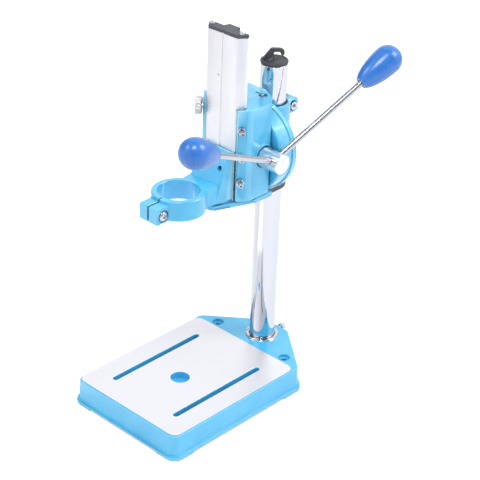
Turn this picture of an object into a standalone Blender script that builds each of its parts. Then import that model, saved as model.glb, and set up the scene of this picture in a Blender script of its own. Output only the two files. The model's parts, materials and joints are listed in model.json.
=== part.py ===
# Bench stand for a hand drill: a cast base with a milled table, a chrome column, a clamp with a
# swivel disc, a bracket that guides a dovetail slide, and a rack and pinion feed with two rods.
# Metres. +X right, +Y to the back, +Z up. The origin is on the column's axis at bench level.
import math

import bmesh
import bpy
from mathutils import Matrix, Vector

# Clearances shared by every piece
gap = 0.0003  # left between pieces that touch
overrun = 0.002  # how far a cutter passes the face that it opens
joined = 0.001  # how deep one body of a casting runs into the next

# Base casting
base_height = 0.0286  # bench to the milled table face
base_half_width = 0.074
base_front = -0.207
base_shoulder = -0.022  # where the sides start to taper
base_rear = 0.025
base_rear_half_width = 0.0165
base_corner_radius = 0.0085
base_edge_round = 0.0012
base_wall = 0.0045
base_plate = 0.0065
base_draft = 0.001
base_lip = 0.0035  # how far the lip round the foot stands out
base_lip_height = 0.005
base_lip_round = 0.0008
base_foot_length = 0.024
base_foot_relief = 0.002  # height of the arch between two corner feet
base_rib_offset = 0.023
base_rib_half_width = 0.002
base_rib_bottom = 0.010
base_rib_places = (-0.168, -0.088)
table_raise = 0.0005  # how far the milled face stands over the painted skin
table_half_width = 0.0725
table_front = -0.2055
table_rear = -0.0272
throat = 0.127  # column axis forward to the table's centre hole
slot_offset = 0.0455
slot_half_width = 0.0029
slot_front = -0.1774
slot_rear = -0.057
pocket_radius = 0.0100
pocket_depth = 0.0075
pocket_wall = 0.004
bench_hole_offset = 0.050
bench_hole_y = -0.0183
bench_hole_radius = 0.0033
bench_sink_radius = 0.0062
bench_sink_depth = 0.0035
bench_boss_radius = 0.009
socket_radius = 0.0195
socket_floor = 0.0035
foot_ring_radius = 0.018
foot_ring_height = 0.002

# Column, its cap and its bolt
column_radius = 0.014
column_wall = 0.002
column_top_rise = 0.0834
cap_radius = 0.0145
cap_thickness = 0.0032
cap_round = 0.0008
cap_dish = 0.0006
cap_dish_radius = 0.0118
cap_plug_depth = 0.009
cap_turn = math.radians(42.6)
hook_root = -0.0122  # outer foot of the hook's fin, from the cap's axis
hook_post = -0.0009
hook_tip_inner = 0.0060
hook_tip_outer = 0.0100
hook_height = 0.0127
hook_bar = 0.0036
hook_tip_height = 0.0054
hook_half_thickness = 0.0023
hook_round = 0.0030
hook_fin_lean = math.radians(140)
set_bolt_height = 0.0222
set_bolt_radius = 0.0024
set_bolt_head_y = 0.0305
set_bolt_head_flat = 0.008
set_bolt_head_height = 0.0045
set_bolt_lug_half_width = 0.007
set_bolt_lug_low = 0.0115
set_bolt_lug_front = 0.0165

# Clamp on the column, with its half of the swivel disc
swivel_height = 0.2681
swivel_plane = -0.019
disc_radius = 0.048
drum_radius = 0.0465  # the bracket's half of the disc, clear of the turning rods
disc_edge_round = 0.0012
clamp_disc_back = -0.0125
spigot_radius = 0.016
spigot_depth = 0.003
barrel_radius = 0.0187
barrel_bottom_rise = -0.0474
barrel_top_rise = 0.0415
liner_wall = 0.0008
liner_foot_height = 0.0055  # the liner's flange, which shows under the clamp
liner_foot_half_width = 0.0178
liner_foot_front = -0.0165
shoulder_half_width = 0.0184
shoulder_top_rise = 0.036
ear_half_width = 0.0105
ear_front = 0.012
ear_back = 0.0280
ear_height = 0.016
ear_corner_radius = 0.004
slit_half_width = 0.00115
clamp_bolt_y = 0.0208
clamp_bolt_drop = 0.0085  # below the barrel's top
clamp_bolt_radius = 0.0025
clamp_head_radius = 0.0045
clamp_head_seat = 0.0075  # the ear is counterbored to here
clamp_spot_radius = 0.0054
clamp_head_height = 0.0040
clamp_nut_flat = 0.008
clamp_nut_height = 0.0038
socket_key_flat = 0.0040
socket_key_depth = 0.0020
swivel_ring_radius = 0.036
swivel_bolt_radius = 0.003
swivel_head_flat = 0.010
swivel_head_height = 0.004
swivel_bolt_end = -0.033
swivel_washer_radius = 0.0062
swivel_washer_height = 0.0012
swivel_rest_angle = math.radians(45)  # the bolts rest at the upper end of their slots
swivel_range = math.radians(90)

# Slide: a dovetail extrusion, wider at its back, with a channel for the rack
slide_bottom_rise = -0.0395
slide_length = 0.1744
slide_front = -0.0768
slide_back = -0.0665
slide_front_half_width = 0.0196
slide_back_half_width = 0.0258
slide_side_height = 0.0025
slide_hump_back = -0.0596
slide_hump_half_width = 0.0085
slide_hump_taper = 0.0014
slide_groove_half_width = 0.0009
slide_groove_depth = 0.0012
slide_chamber_near = 0.0060
slide_chamber_far = 0.0155
slide_chamber_wall = 0.0022
slide_port_x = 0.0198
slide_port_y = -0.0708
slide_port_radius = 0.0017
front_hole_x = -0.004
front_hole_z_rise = 0.0905
front_hole_radius = 0.0011
front_hole_depth = 0.0018
end_cap_thickness = 0.0030
end_cap_chamfer = 0.0005
cap_screw_radius = 0.0014
cap_screw_length = 0.008
cap_screw_head_radius = 0.0028
cap_screw_head_height = 0.0011

# Rack and pinion
gear_module = 0.00125
pinion_teeth = 15
pressure_angle = math.radians(20)
backlash = 0.00045
pinion_y = -0.0483
pinion_z_rise = 0.0062
pinion_half_width = 0.0055
pinion_root_share = 1.25
rack_tip_share = 0.8
rack_half_width = 0.004
rack_front = -0.0642
rack_low_teeth = 7
rack_high_teeth = 23
rack_pin_radius = 0.0012
rack_pin_length = 0.0090
rack_pin_rises = (-0.0176, 0.0924)
shaft_radius = 0.005
shaft_left = -0.0385
shaft_right = 0.043
bush_radius = 0.007
retaining_ring_radius = 0.0085
retaining_ring_thickness = 0.001

# Crank: hub, two rods and two egg-shaped knobs
hub_radius = 0.0105
hub_start = 0.0325
hub_end = 0.0600
hub_chamfer = 0.0005
hub_screw_x = 0.0412
hub_screw_radius = 0.0020
hub_screw_length = 0.0026
hub_screw_angle = math.radians(80)
rod_radius = 0.0034
rod_root = 0.048  # where the rods' lines cross the hub's axis
rod_seat = 0.0045  # the rod's inner end, measured along the rod
rod_lean = math.radians(10.5)
rod_angles = {"front": math.radians(155.3), "rear": math.radians(30.8)}
knob_start = 0.1212
knob_widest = 0.1587
knob_radius = 0.0153
knob_end_radius = 0.0066
knob_pole_radius = 0.0010
knob_bore_depth = 0.020
knob_steps = 8

# Bracket that guides the slide
bracket_bottom_rise = -0.0385
bracket_top_rise = 0.0615
bracket_half_width = 0.0336
bracket_front = -0.077
bracket_side_front = -0.065
bracket_side_back = -0.0385
bracket_back_corner = (0.024, -0.028)
bracket_back_right = 0.0065  # the back face's corners, from the middle
bracket_back_left = 0.0225
cheek_nose = (0.0255, -0.0771)
cheek_shoulder = (0.0313, -0.0705)
lock_cheek_nose = (-0.0240, -0.0770)
lock_cheek_shoulder = (-0.0334, -0.0667)
drum_front = -0.036
channel_side_room = 0.0024  # beside the slide on the gib's side
feed_channel_half_width = 0.0105
feed_channel_back = -0.0371
side_boss_radius = 0.0132
side_boss_height = 0.0012
hub_recess_radius = 0.0113
gib_thickness = 0.0015
gib_edge = 0.0004
gib_drop = 0.0008  # below the bracket's top and above its bottom
gib_screw_rises = (0.0405, 0.0115, -0.016)
gib_screw_shift = 0.0015  # toward the back from the flank's middle
gib_screw_radius = 0.0024
gib_screw_length = 0.0125
gib_seat = 0.0052  # flank to the nut's seat
gib_seat_radius = 0.0050
gib_seat_reach = 0.012
gib_nut_flat = 0.0075
gib_nut_height = 0.0028
lock_height_rise = 0.05
lock_stud_radius = 0.0024
lock_knob_radius = 0.0092
lock_knob_edge_radius = 0.0084
lock_knob_thickness = 0.0064
lock_knob_stand_off = 0.0050  # flank to the knob's near face
lock_knob_flutes = 18
lock_knob_flute_depth = 0.0006
lock_knob_bore_depth = 0.0040
spring_x = 0.0142
spring_y = -0.0308
spring_bore_radius = 0.0044
spring_notch_half_width = 0.0016
spring_notch_length = 0.0095
spring_notch_depth = 0.0030
spring_pin_radius = 0.0010
spring_coil_radius = 0.0036
spring_wire_radius = 0.0005
spring_curls = 16
spring_points = 8  # in one curl
spring_top_rise = 0.0561

# Holder: collar, arm, wedge in front of the slide and plate under it
collar_y = -0.133
collar_bore = 0.0217
collar_radius = 0.0277
collar_bottom_rise = -0.036
collar_top_rise = -0.0149
collar_edge = 0.0008
collar_ear_half_width = 0.0118
collar_ear_front = -0.1750
collar_ear_low_rise = -0.0355
collar_ear_high_rise = -0.0181
collar_ear_back = -0.1560
collar_ear_round = 0.0016
collar_bolt_y = -0.1650
collar_bolt_z_rise = -0.0283
collar_bolt_radius = 0.0028
collar_head_radius = 0.0052
collar_head_height = 0.0034
collar_head_seat = 0.0100
collar_spot_radius = 0.0066
collar_nut_flat = 0.0095
collar_nut_height = 0.0042
arm_front = -0.116
arm_top_rise = -0.0153
arm_front_half_width = 0.0160
arm_middle = -0.0994
arm_middle_half_width = 0.0190
arm_widest = -0.0874
arm_back_half_width = 0.0205
wedge_foot = -0.0973
wedge_top_y = -0.0805
wedge_top_rise = 0.015
web_nose = -0.0992
web_nose_half_width = 0.0105
web_middle_half_width = 0.0185
web_back_half_width = 0.0198
plate_bottom_rise = -0.0448
plate_nose = -0.1012
plate_nose_half_width = 0.0115
plate_neck = (0.0155, -0.0985)
plate_waist = (0.0221, -0.0821)
plate_hip = (0.0323, -0.0553)
plate_back_half_width = 0.0325
plate_back = -0.0310
plate_ear_radius = 0.0052
plate_hook_radius = 0.0016
holder_screw_x = 0.0128
holder_screw_z_rise = -0.0014
holder_screw_radius = 0.0016
holder_screw_length = 0.0070
holder_head_radius = 0.0023
holder_head_height = 0.0022
holder_head_seat = -0.0797
foot_screw_radius = 0.0014
foot_screw_length = 0.011
foot_head_radius = 0.0028
foot_head_height = 0.0018

# Roundness
coarse = 12
medium = 24
fine = 48
corner_steps = 4
edge_steps = 3
smooth_angle = math.radians(32)

# Derived places
column_top = swivel_height + column_top_rise
barrel_bottom = swivel_height + barrel_bottom_rise
barrel_top = swivel_height + barrel_top_rise
slide_bottom = swivel_height + slide_bottom_rise
pinion_z = swivel_height + pinion_z_rise
front_hole_z = swivel_height + front_hole_z_rise
bracket_bottom = swivel_height + bracket_bottom_rise
bracket_top = swivel_height + bracket_top_rise
lock_height = swivel_height + lock_height_rise
spring_top = swivel_height + spring_top_rise
collar_bottom = swivel_height + collar_bottom_rise
collar_top = swivel_height + collar_top_rise
collar_ear_low = swivel_height + collar_ear_low_rise
collar_ear_high = swivel_height + collar_ear_high_rise
collar_bolt_z = swivel_height + collar_bolt_z_rise
arm_top = swivel_height + arm_top_rise
wedge_top = swivel_height + wedge_top_rise
plate_bottom = swivel_height + plate_bottom_rise
holder_screw_z = swivel_height + holder_screw_z_rise
rack_pin_places = [swivel_height + rise for rise in rack_pin_rises]
gib_screw_places = [swivel_height + rise for rise in gib_screw_rises]
table_skin = base_height - table_raise
slide_top = slide_bottom + slide_length
plate_top = slide_bottom - gap
holder_back = slide_front - gap
flank_depth = slide_back - slide_side_height - slide_front
flank_slope = (slide_back_half_width - slide_front_half_width) / flank_depth
flank_lean = math.atan(flank_slope)
flank_along = Vector((math.sin(flank_lean), math.cos(flank_lean), 0.0))
flank_out = Vector((math.cos(flank_lean), -math.sin(flank_lean), 0.0))
flank_middle_x = (slide_front_half_width + slide_back_half_width) / 2
flank_middle_y = slide_front + flank_depth / 2
left_out = Vector((-flank_out.x, flank_out.y, 0.0))
bracket_back = swivel_plane - gap / 2
clamp_front = swivel_plane + gap / 2
channel_back = slide_back + gap
pinion_radius = gear_module * pinion_teeth / 2
tooth_pitch = math.pi * gear_module
rack_pitch_y = pinion_y - pinion_radius
rack_root_y = rack_pitch_y - pinion_root_share * gear_module
side_face = bracket_half_width + side_boss_height
liner_radius = column_radius + gap
bore_radius = liner_radius + liner_wall + gap
clamp_bolt_z = barrel_top - clamp_bolt_drop
spring_bottom = plate_top + gap + spring_wire_radius
rod_cross = Vector((rod_root, pinion_y, pinion_z))

joint_points = {
    "base": Vector((0.0, 0.0, 0.0)),
    "column": Vector((0.0, 0.0, socket_floor)),
    "clamp": Vector((0.0, 0.0, swivel_height)),
    "bracket": Vector((0.0, swivel_plane, swivel_height)),
    "slide": Vector((0.0, slide_front, slide_bottom)),
    "crank": Vector((0.0, pinion_y, pinion_z)),
    "lock": Vector((-flank_middle_x, flank_middle_y, lock_height)),
}
joint_parents = {
    "column": "base",
    "clamp": "column",
    "bracket": "clamp",
    "slide": "bracket",
    "crank": "bracket",
    "lock": "bracket",
}


# Scene and materials
def clear_scene():
    for thing in list(bpy.data.objects):
        bpy.data.objects.remove(thing)


def linear(channel):
    return channel / 12.92 if channel <= 0.04045 else ((channel + 0.055) / 1.055) ** 2.4


def finish(name, colour, metallic, roughness):
    made = bpy.data.materials.new(name)
    made.use_nodes = True
    shader = made.node_tree.nodes["Principled BSDF"]
    channels = [linear(int(colour[at : at + 2], 16) / 255) for at in (0, 2, 4)]
    shader.inputs["Base Color"].default_value = (*channels, 1.0)
    shader.inputs["Metallic"].default_value = metallic
    shader.inputs["Roughness"].default_value = roughness
    made.diffuse_color = (*channels, 1.0)
    return made


def make_finishes():
    return {
        "paint": finish("sky_blue_enamel", "6CC6FA", 0.0, 0.35),
        "chrome": finish("chromed_steel", "E4E6EA", 1.0, 0.10),
        "zinc": finish("zinc_plated_steel", "C9CBD0", 1.0, 0.35),
        "steel": finish("ground_steel", "9A9CA2", 1.0, 0.30),
        "aluminium": finish("anodised_aluminium", "DCDDE2", 1.0, 0.38),
        "bronze": finish("sintered_bronze", "A08052", 1.0, 0.45),
        "black": finish("black_plastic", "45464C", 0.0, 0.50),
        "knob": finish("blue_plastic", "4084DC", 0.0, 0.40),
        "nickel": finish("nickel_plated_steel", "D5D6D8", 1.0, 0.32),
    }


# Joint frames: one empty at each joint, parented the way the stand moves
def make_frames():
    made = {}
    for name, point in joint_points.items():
        empty = bpy.data.objects.new(name + "_frame", None)
        bpy.context.scene.collection.objects.link(empty)
        empty.location = point
        parent = joint_parents.get(name)
        if parent:
            empty.parent = made[parent]
            empty.location = point - joint_points[parent]
        made[name] = empty
    return made


def place(shape, name, frame, material):
    shape.data.transform(Matrix.Translation(-joint_points[frame]))
    shape.data.materials.clear()
    shape.data.materials.append(finishes[material])
    shape.data.shade_smooth()
    shape.data.set_sharp_from_angle(angle=smooth_angle)
    shape.name = name
    shape.data.name = name
    shape.parent = frames[frame]


def place_each(shapes, name, frame, material):
    for number, shape in enumerate(shapes, 1):
        place(shape, name + "_" + str(number), frame, material)


# Solids from outlines
def as_shape(skin):
    bmesh.ops.recalc_face_normals(skin, faces=skin.faces)
    mesh = bpy.data.meshes.new("shape")
    skin.to_mesh(mesh)
    skin.free()
    shape = bpy.data.objects.new("shape", mesh)
    bpy.context.scene.collection.objects.link(shape)
    return shape


def in_space(axis, u, v, along):
    if axis == "X":
        return (along, u, v)
    if axis == "Y":
        return (u, along, v)
    return (u, v, along)


# A closed skin through outlines of equal point counts, each at its own place along the axis
def stack(axis, levels):
    skin = bmesh.new()
    rings = []
    for outline, along in levels:
        rings.append([skin.verts.new(in_space(axis, u, v, along)) for u, v in outline])
    for low, high in zip(rings, rings[1:]):
        for index in range(len(low)):
            after = (index + 1) % len(low)
            skin.faces.new((low[index], low[after], high[after], high[index]))
    skin.faces.new(list(reversed(rings[0])))
    skin.faces.new(rings[-1])
    return as_shape(skin)


def prism(axis, outline, low, high):
    return stack(axis, [(outline, low), (outline, high)])


def rectangle(u_low, u_high, v_low, v_high):
    return [(u_low, v_low), (u_high, v_low), (u_high, v_high), (u_low, v_high)]


def box(x_range, y_range, z_range):
    return prism("Z", rectangle(*x_range, *y_range), *z_range)


def arc(centre, radius, start, end, steps):
    angles = [start + (end - start) * step / steps for step in range(steps + 1)]
    return [(centre[0] + radius * math.cos(a), centre[1] + radius * math.sin(a)) for a in angles]


def circle(centre, radius, count):
    return arc(centre, radius, 0.0, 2 * math.pi, count)[:-1]


# A round body from pairs of radius and place along the axis
def turned(axis, centre, profile, count=medium):
    return stack(axis, [(circle(centre, radius, count), along) for radius, along in profile])


def drum(axis, centre, radius, low, high, count=medium):
    return turned(axis, centre, [(radius, low), (radius, high)], count)


def hexagon(centre, across_flats):
    return circle(centre, across_flats / math.sqrt(3), 6)


# Outline of a convex polygon, anticlockwise, with round corners; grow moves it outward
def rounded(corners, radius, grow=0.0):
    outline = []
    for index, corner in enumerate(corners):
        here = Vector(corner)
        back = (Vector(corners[index - 1]) - here).normalized()
        ahead = (Vector(corners[(index + 1) % len(corners)]) - here).normalized()
        opening = back.angle(ahead)
        centre = here + (back + ahead).normalized() * radius / math.sin(opening / 2)
        start = math.atan2(back.x, -back.y)
        end = start + math.pi - opening
        outline += arc(centre, radius + grow, start, end, corner_steps)
    return outline


def oblong(x, half_width, front, rear):
    front_end = arc((x, front), half_width, math.pi, 2 * math.pi, coarse // 2)
    return front_end + arc((x, rear), half_width, 0.0, math.pi, coarse // 2)


def both_sides(half):
    return half + [(-x, y) for x, y in reversed(half)]


# Turns a shape made along +Z so that it starts at a point and runs along a direction
def aim(shape, point, direction):
    turn = direction.to_track_quat("Z", "Y").to_matrix().to_4x4()
    shape.data.transform(Matrix.Translation(point) @ turn)
    return shape


def pin(point, direction, radius, low, high, count=coarse):
    return aim(drum("Z", (0.0, 0.0), radius, low, high, count), point, direction)


# Booleans
def combine(body, tool, operation):
    modifier = body.modifiers.new("combine", "BOOLEAN")
    modifier.solver = "EXACT"
    modifier.operation = operation
    modifier.object = tool
    graph = bpy.context.evaluated_depsgraph_get()
    result = bpy.data.meshes.new_from_object(body.evaluated_get(graph))
    body.modifiers.clear()
    body.data = result
    bpy.data.objects.remove(tool)


def add(body, *tools):
    for tool in tools:
        combine(body, tool, "UNION")
    return body


def cut(body, *tools):
    for tool in tools:
        combine(body, tool, "DIFFERENCE")
    return body


# Base
def base_outline(grow=0.0):
    corners = [
        (-base_half_width, base_front),
        (base_half_width, base_front),
        (base_half_width, base_shoulder),
        (base_rear_half_width, base_rear),
        (-base_rear_half_width, base_rear),
        (-base_half_width, base_shoulder),
    ]
    return rounded(corners, base_corner_radius, grow)


def base_shell():
    side_top = table_skin - base_edge_round
    levels = [
        (base_outline(base_lip), 0.0),
        (base_outline(base_lip), base_lip_height - base_lip_round),
        (base_outline(base_lip - base_lip_round), base_lip_height),
        (base_outline(base_draft), base_lip_height),
    ]
    for step in range(edge_steps + 1):
        angle = math.pi / 2 * step / edge_steps
        shrink = base_edge_round * (1 - math.cos(angle))
        levels.append((base_outline(-shrink), side_top + base_edge_round * math.sin(angle)))
    hollow = [
        (base_outline(base_draft - base_wall), -overrun),
        (base_outline(-base_wall), table_skin - base_plate),
    ]
    return cut(stack("Z", levels), stack("Z", hollow))


def add_base_ribs(body, top):
    front = base_front + base_wall - joined
    for side in (-1, 1):
        middle = side * base_rib_offset
        across = (middle - base_rib_half_width, middle + base_rib_half_width)
        add(body, box(across, (front, base_shoulder), (base_rib_bottom, top)))
    for rib_y in base_rib_places:
        along = (rib_y - base_rib_half_width, rib_y + base_rib_half_width)
        add(body, box((-base_rib_offset, base_rib_offset), along, (base_rib_bottom, top)))


def add_base_bosses(body, top):
    axis = (0.0, 0.0)
    pocket_bottom = base_height - pocket_depth - pocket_wall
    add(body, drum("Z", (0.0, -throat), pocket_radius + pocket_wall, pocket_bottom, top))
    for side in (-1, 1):
        spot = (side * bench_hole_offset, bench_hole_y)
        add(body, drum("Z", spot, bench_boss_radius, 0.0, top))
    add(body, drum("Z", axis, socket_radius, 0.0, top, fine))
    lug_across = (-set_bolt_lug_half_width, set_bolt_lug_half_width)
    lug_along = (set_bolt_lug_front, base_rear - base_wall + joined)
    add(body, box(lug_across, lug_along, (set_bolt_lug_low, top)))
    ring_top = table_skin + foot_ring_height
    add(body, drum("Z", axis, foot_ring_radius, top - joined, ring_top, fine))


def cut_base_holes(body):
    ring_top = table_skin + foot_ring_height + overrun
    cut(body, drum("Z", (0.0, 0.0), column_radius + gap, socket_floor, ring_top, fine))
    under_plate = table_skin - base_plate - overrun
    above = base_height + overrun
    for side in (-1, 1):
        slot = oblong(side * slot_offset, slot_half_width, slot_front, slot_rear)
        cut(body, prism("Z", slot, under_plate, above))
        spot = (side * bench_hole_offset, bench_hole_y)
        cut(body, drum("Z", spot, bench_hole_radius, -overrun, above))
        cut(body, drum("Z", spot, bench_sink_radius, table_skin - bench_sink_depth, above))
    cut(body, drum("Z", (0.0, -throat), pocket_radius, base_height - pocket_depth, above, fine))
    rear = base_rear + base_lip + overrun
    cut(body, drum("Y", (0.0, set_bolt_height), set_bolt_radius + gap, 0.0, rear, coarse))


# The foot touches the bench only at its corners and at the column
def cut_foot_arches(body):
    reach = base_half_width + base_lip + overrun
    inside = base_half_width - base_wall - overrun
    end = base_half_width - base_foot_length
    up = (-overrun, base_foot_relief)
    front = (base_front - base_lip - overrun, base_front + base_wall + overrun)
    cut(body, box((-end, end), front, up))
    along = (base_front + base_foot_length, base_shoulder - base_foot_length)
    for side in (-1, 1):
        cut(body, box(sorted((side * reach, side * inside)), along, up))


def make_base():
    body = base_shell()
    top = table_skin - base_plate + joined
    add_base_ribs(body, top)
    add_base_bosses(body, top)
    face = rectangle(-table_half_width, table_half_width, table_front, table_rear)
    face_outline = rounded(face, base_corner_radius)
    add(body, prism("Z", face_outline, table_skin - joined, base_height))
    cut_base_holes(body)
    cut_foot_arches(body)
    place(body, "base_casting", "base", "paint")


def make_set_bolt():
    line = (0.0, set_bolt_height)
    start = column_radius + gap
    bolt = drum("Y", line, set_bolt_radius, start, set_bolt_head_y + joined, coarse)
    head_end = set_bolt_head_y + set_bolt_head_height
    add(bolt, prism("Y", hexagon(line, set_bolt_head_flat), set_bolt_head_y, head_end))
    place(bolt, "column_set_bolt", "base", "zinc")


# Column
def make_column():
    axis = (0.0, 0.0)
    tube = drum("Z", axis, column_radius, socket_floor + gap, column_top, fine)
    cut(tube, drum("Z", axis, column_radius - column_wall, 0.0, column_top + overrun, fine))
    place(tube, "column_tube", "column", "chrome")


def hook_outline():
    under = hook_height - hook_bar
    inner = hook_round / 2
    outer = hook_round + inner
    tip = (hook_tip_outer - hook_tip_inner) / 2
    tip_middle = ((hook_tip_inner + hook_tip_outer) / 2, hook_tip_height + tip)
    quarter = math.pi / 2
    outline = [(hook_root, -joined), (hook_post, -joined)]
    outline += arc((hook_post + inner, under - inner), inner, math.pi, quarter, edge_steps)
    outline += arc((hook_tip_inner - inner, under - inner), inner, quarter, 0.0, edge_steps)
    outline += arc(tip_middle, tip, math.pi, 2 * math.pi, corner_steps)
    outline += arc((hook_tip_outer - outer, hook_height - outer), outer, 0.0, quarter, corner_steps)
    back_middle = (hook_post - inner, hook_height - hook_round)
    outline += arc(back_middle, hook_round, quarter, hook_fin_lean, edge_steps)
    outline.append((hook_root, inner))
    return outline


def make_column_cap():
    low = column_top + gap
    top = low + cap_thickness
    plug = column_radius - column_wall - gap
    profile = [
        (plug, column_top - cap_plug_depth),
        (plug, low),
        (cap_radius - cap_round, low),
        (cap_radius, low + cap_round),
        (cap_radius, top - cap_round),
        (cap_radius - cap_round, top),
        (cap_dish_radius, top),
        (cap_dish_radius - cap_dish, top - cap_dish),
    ]
    cap = turned("Z", (0.0, 0.0), profile, fine)
    hook = prism("Y", hook_outline(), -hook_half_thickness, hook_half_thickness)
    lift = Matrix.Translation((0.0, 0.0, top - cap_dish))
    hook.data.transform(lift @ Matrix.Rotation(cap_turn, 4, "Z"))
    add(cap, hook)
    place(cap, "column_cap", "column", "black")


# Clamp
def swivel_spot(angle):
    across = swivel_ring_radius * math.cos(angle)
    return (across, swivel_height + swivel_ring_radius * math.sin(angle))


def arc_slot(start):
    end = start + swivel_range
    middle = (0.0, swivel_height)
    half = swivel_bolt_radius + gap
    count = medium // 2
    outline = arc(middle, swivel_ring_radius + half, start, end, count)
    outline += arc(swivel_spot(end), half, end, end + math.pi, coarse // 2)[1:-1]
    outline += arc(middle, swivel_ring_radius - half, end, start, count)
    outline += arc(swivel_spot(start), half, start - math.pi, start, coarse // 2)[1:-1]
    return prism("Y", outline, clamp_front - overrun, clamp_disc_back + overrun)


def make_clamp():
    axis = (0.0, 0.0)
    middle = (0.0, swivel_height)
    body = drum("Z", axis, barrel_radius, barrel_bottom, barrel_top, fine)
    across = (-shoulder_half_width, shoulder_half_width)
    up = (barrel_bottom, swivel_height + shoulder_top_rise)
    add(body, box(across, (clamp_front + joined, 0.0), up))
    disc = [
        (disc_radius, clamp_front),
        (disc_radius, clamp_disc_back - disc_edge_round),
        (disc_radius - disc_edge_round, clamp_disc_back),
    ]
    add(body, turned("Y", middle, disc, fine))
    add(body, drum("Y", middle, spigot_radius, clamp_front - spigot_depth, clamp_disc_back))
    ears = rectangle(ear_front, ear_back, barrel_top - ear_height, barrel_top)
    add(body, prism("X", rounded(ears, ear_corner_radius), -ear_half_width, ear_half_width))
    disc_across = (-disc_radius, disc_radius)
    disc_along = (clamp_front - spigot_depth - overrun, clamp_disc_back + overrun)
    cut(body, box(disc_across, disc_along, (swivel_height - disc_radius - overrun, barrel_bottom)))
    low = barrel_bottom - overrun
    high = swivel_height + disc_radius + overrun
    cut(body, drum("Z", axis, bore_radius, low, high, fine))
    slit_along = (column_radius - overrun, ear_back + overrun)
    cut(body, box((-slit_half_width, slit_half_width), slit_along, (low, high)))
    bolt_line = (clamp_bolt_y, clamp_bolt_z)
    reach = ear_half_width + overrun
    cut(body, drum("X", bolt_line, clamp_bolt_radius + gap, -reach, reach, coarse))
    cut(body, drum("X", bolt_line, clamp_spot_radius, clamp_head_seat, reach))
    slot_start = swivel_rest_angle - swivel_range
    cut(body, arc_slot(slot_start), arc_slot(slot_start + math.pi))
    place(body, "clamp_casting", "clamp", "paint")


def make_liner():
    axis = (0.0, 0.0)
    foot_top = barrel_bottom - gap
    low = foot_top - liner_foot_height
    up = (low - overrun, barrel_top + overrun)
    liner = drum("Z", axis, liner_foot_half_width, low, foot_top, fine)
    across = (-liner_foot_half_width, liner_foot_half_width)
    add(liner, box(across, (liner_foot_front, 0.0), (low, foot_top)))
    add(liner, drum("Z", axis, liner_radius + liner_wall, foot_top - joined, barrel_top, fine))
    cut(liner, drum("Z", axis, liner_radius, *up, fine))
    slit_along = (0.0, liner_foot_half_width + overrun)
    cut(liner, box((-slit_half_width, slit_half_width), slit_along, up))
    place(liner, "column_liner", "clamp", "black")


def make_clamp_bolt():
    line = (clamp_bolt_y, clamp_bolt_z)
    seat = clamp_head_seat + gap
    nut_seat = -ear_half_width - gap
    nut_end = nut_seat - clamp_nut_height
    bolt = drum("X", line, clamp_bolt_radius, nut_end - clamp_bolt_radius, seat + joined, coarse)
    head_end = seat + clamp_head_height
    add(bolt, drum("X", line, clamp_head_radius, seat, head_end))
    key = hexagon(line, socket_key_flat)
    cut(bolt, prism("X", key, head_end - socket_key_depth, head_end + overrun))
    place(bolt, "clamp_bolt", "clamp", "zinc")
    nut = prism("X", hexagon(line, clamp_nut_flat), nut_end, nut_seat)
    hole_ends = (nut_end - overrun, nut_seat + overrun)
    cut(nut, drum("X", line, clamp_bolt_radius + gap, *hole_ends, coarse))
    place(nut, "clamp_nut", "clamp", "zinc")


def swivel_places():
    return [swivel_spot(swivel_rest_angle), swivel_spot(swivel_rest_angle + math.pi)]


def make_swivel_bolts():
    washer_start = clamp_disc_back + gap
    washer_end = washer_start + swivel_washer_height
    head_start = washer_end + gap
    head_end = head_start + swivel_head_height
    hole = swivel_bolt_radius + gap
    bolts = []
    washers = []
    for spot in swivel_places():
        shank = drum("Y", spot, swivel_bolt_radius, swivel_bolt_end, head_start + joined, coarse)
        head = prism("Y", hexagon(spot, swivel_head_flat), head_start, head_end)
        bolts.append(add(shank, head))
        washer = drum("Y", spot, swivel_washer_radius, washer_start, washer_end)
        washers.append(cut(washer, drum("Y", spot, hole, clamp_front, head_end, coarse)))
    place_each(bolts, "swivel_bolt", "bracket", "zinc")
    place_each(washers, "swivel_washer", "bracket", "zinc")


# Bracket: its channel follows the slide's flanks, with room for the gib on the right
def flank_x(y, offset):
    return slide_front_half_width + (y - slide_front) * flank_slope + offset / math.cos(flank_lean)


def flank_y(x, offset):
    run = x - slide_front_half_width - offset / math.cos(flank_lean)
    return slide_front + run / flank_slope


def channel_outline():
    right = gap + gib_thickness + gap
    mouth = bracket_front - overrun
    right_side = slide_back_half_width + channel_side_room
    left_side = slide_back_half_width + gap
    return [
        (-flank_x(mouth, gap), mouth),
        (flank_x(mouth, right), mouth),
        (right_side, flank_y(right_side, right)),
        (right_side, channel_back),
        (-left_side, channel_back),
        (-left_side, flank_y(left_side, gap)),
    ]


def bracket_outline():
    right = [
        cheek_nose,
        cheek_shoulder,
        (bracket_half_width, bracket_side_front),
    ]
    left = [
        (-bracket_half_width, bracket_side_front),
        lock_cheek_shoulder,
        lock_cheek_nose,
    ]
    back = [
        (bracket_half_width, bracket_side_back),
        bracket_back_corner,
        (bracket_back_right, bracket_back),
        (-bracket_back_left, bracket_back),
        (-bracket_half_width, bracket_side_back),
    ]
    return right + back + left


def bracket_drum():
    profile = [
        (drum_radius - disc_edge_round, drum_front),
        (drum_radius, drum_front + disc_edge_round),
        (drum_radius, bracket_back),
    ]
    body = turned("Y", (0.0, swivel_height), profile, fine)
    across = (-drum_radius, drum_radius)
    along = (drum_front - overrun, 0.0)
    return cut(body, box(across, along, (bracket_bottom - drum_radius, bracket_bottom)))


def gib_screw_foot(height):
    middle = Vector((flank_middle_x, flank_middle_y, height))
    return middle + flank_along * gib_screw_shift


def cut_shaft_seat(body):
    line = (pinion_y, pinion_z)
    far = side_face + overrun
    cut(body, drum("X", line, bush_radius + gap, -far, far))
    cut(body, drum("X", line, hub_recess_radius, hub_start - gap, far))


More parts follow.
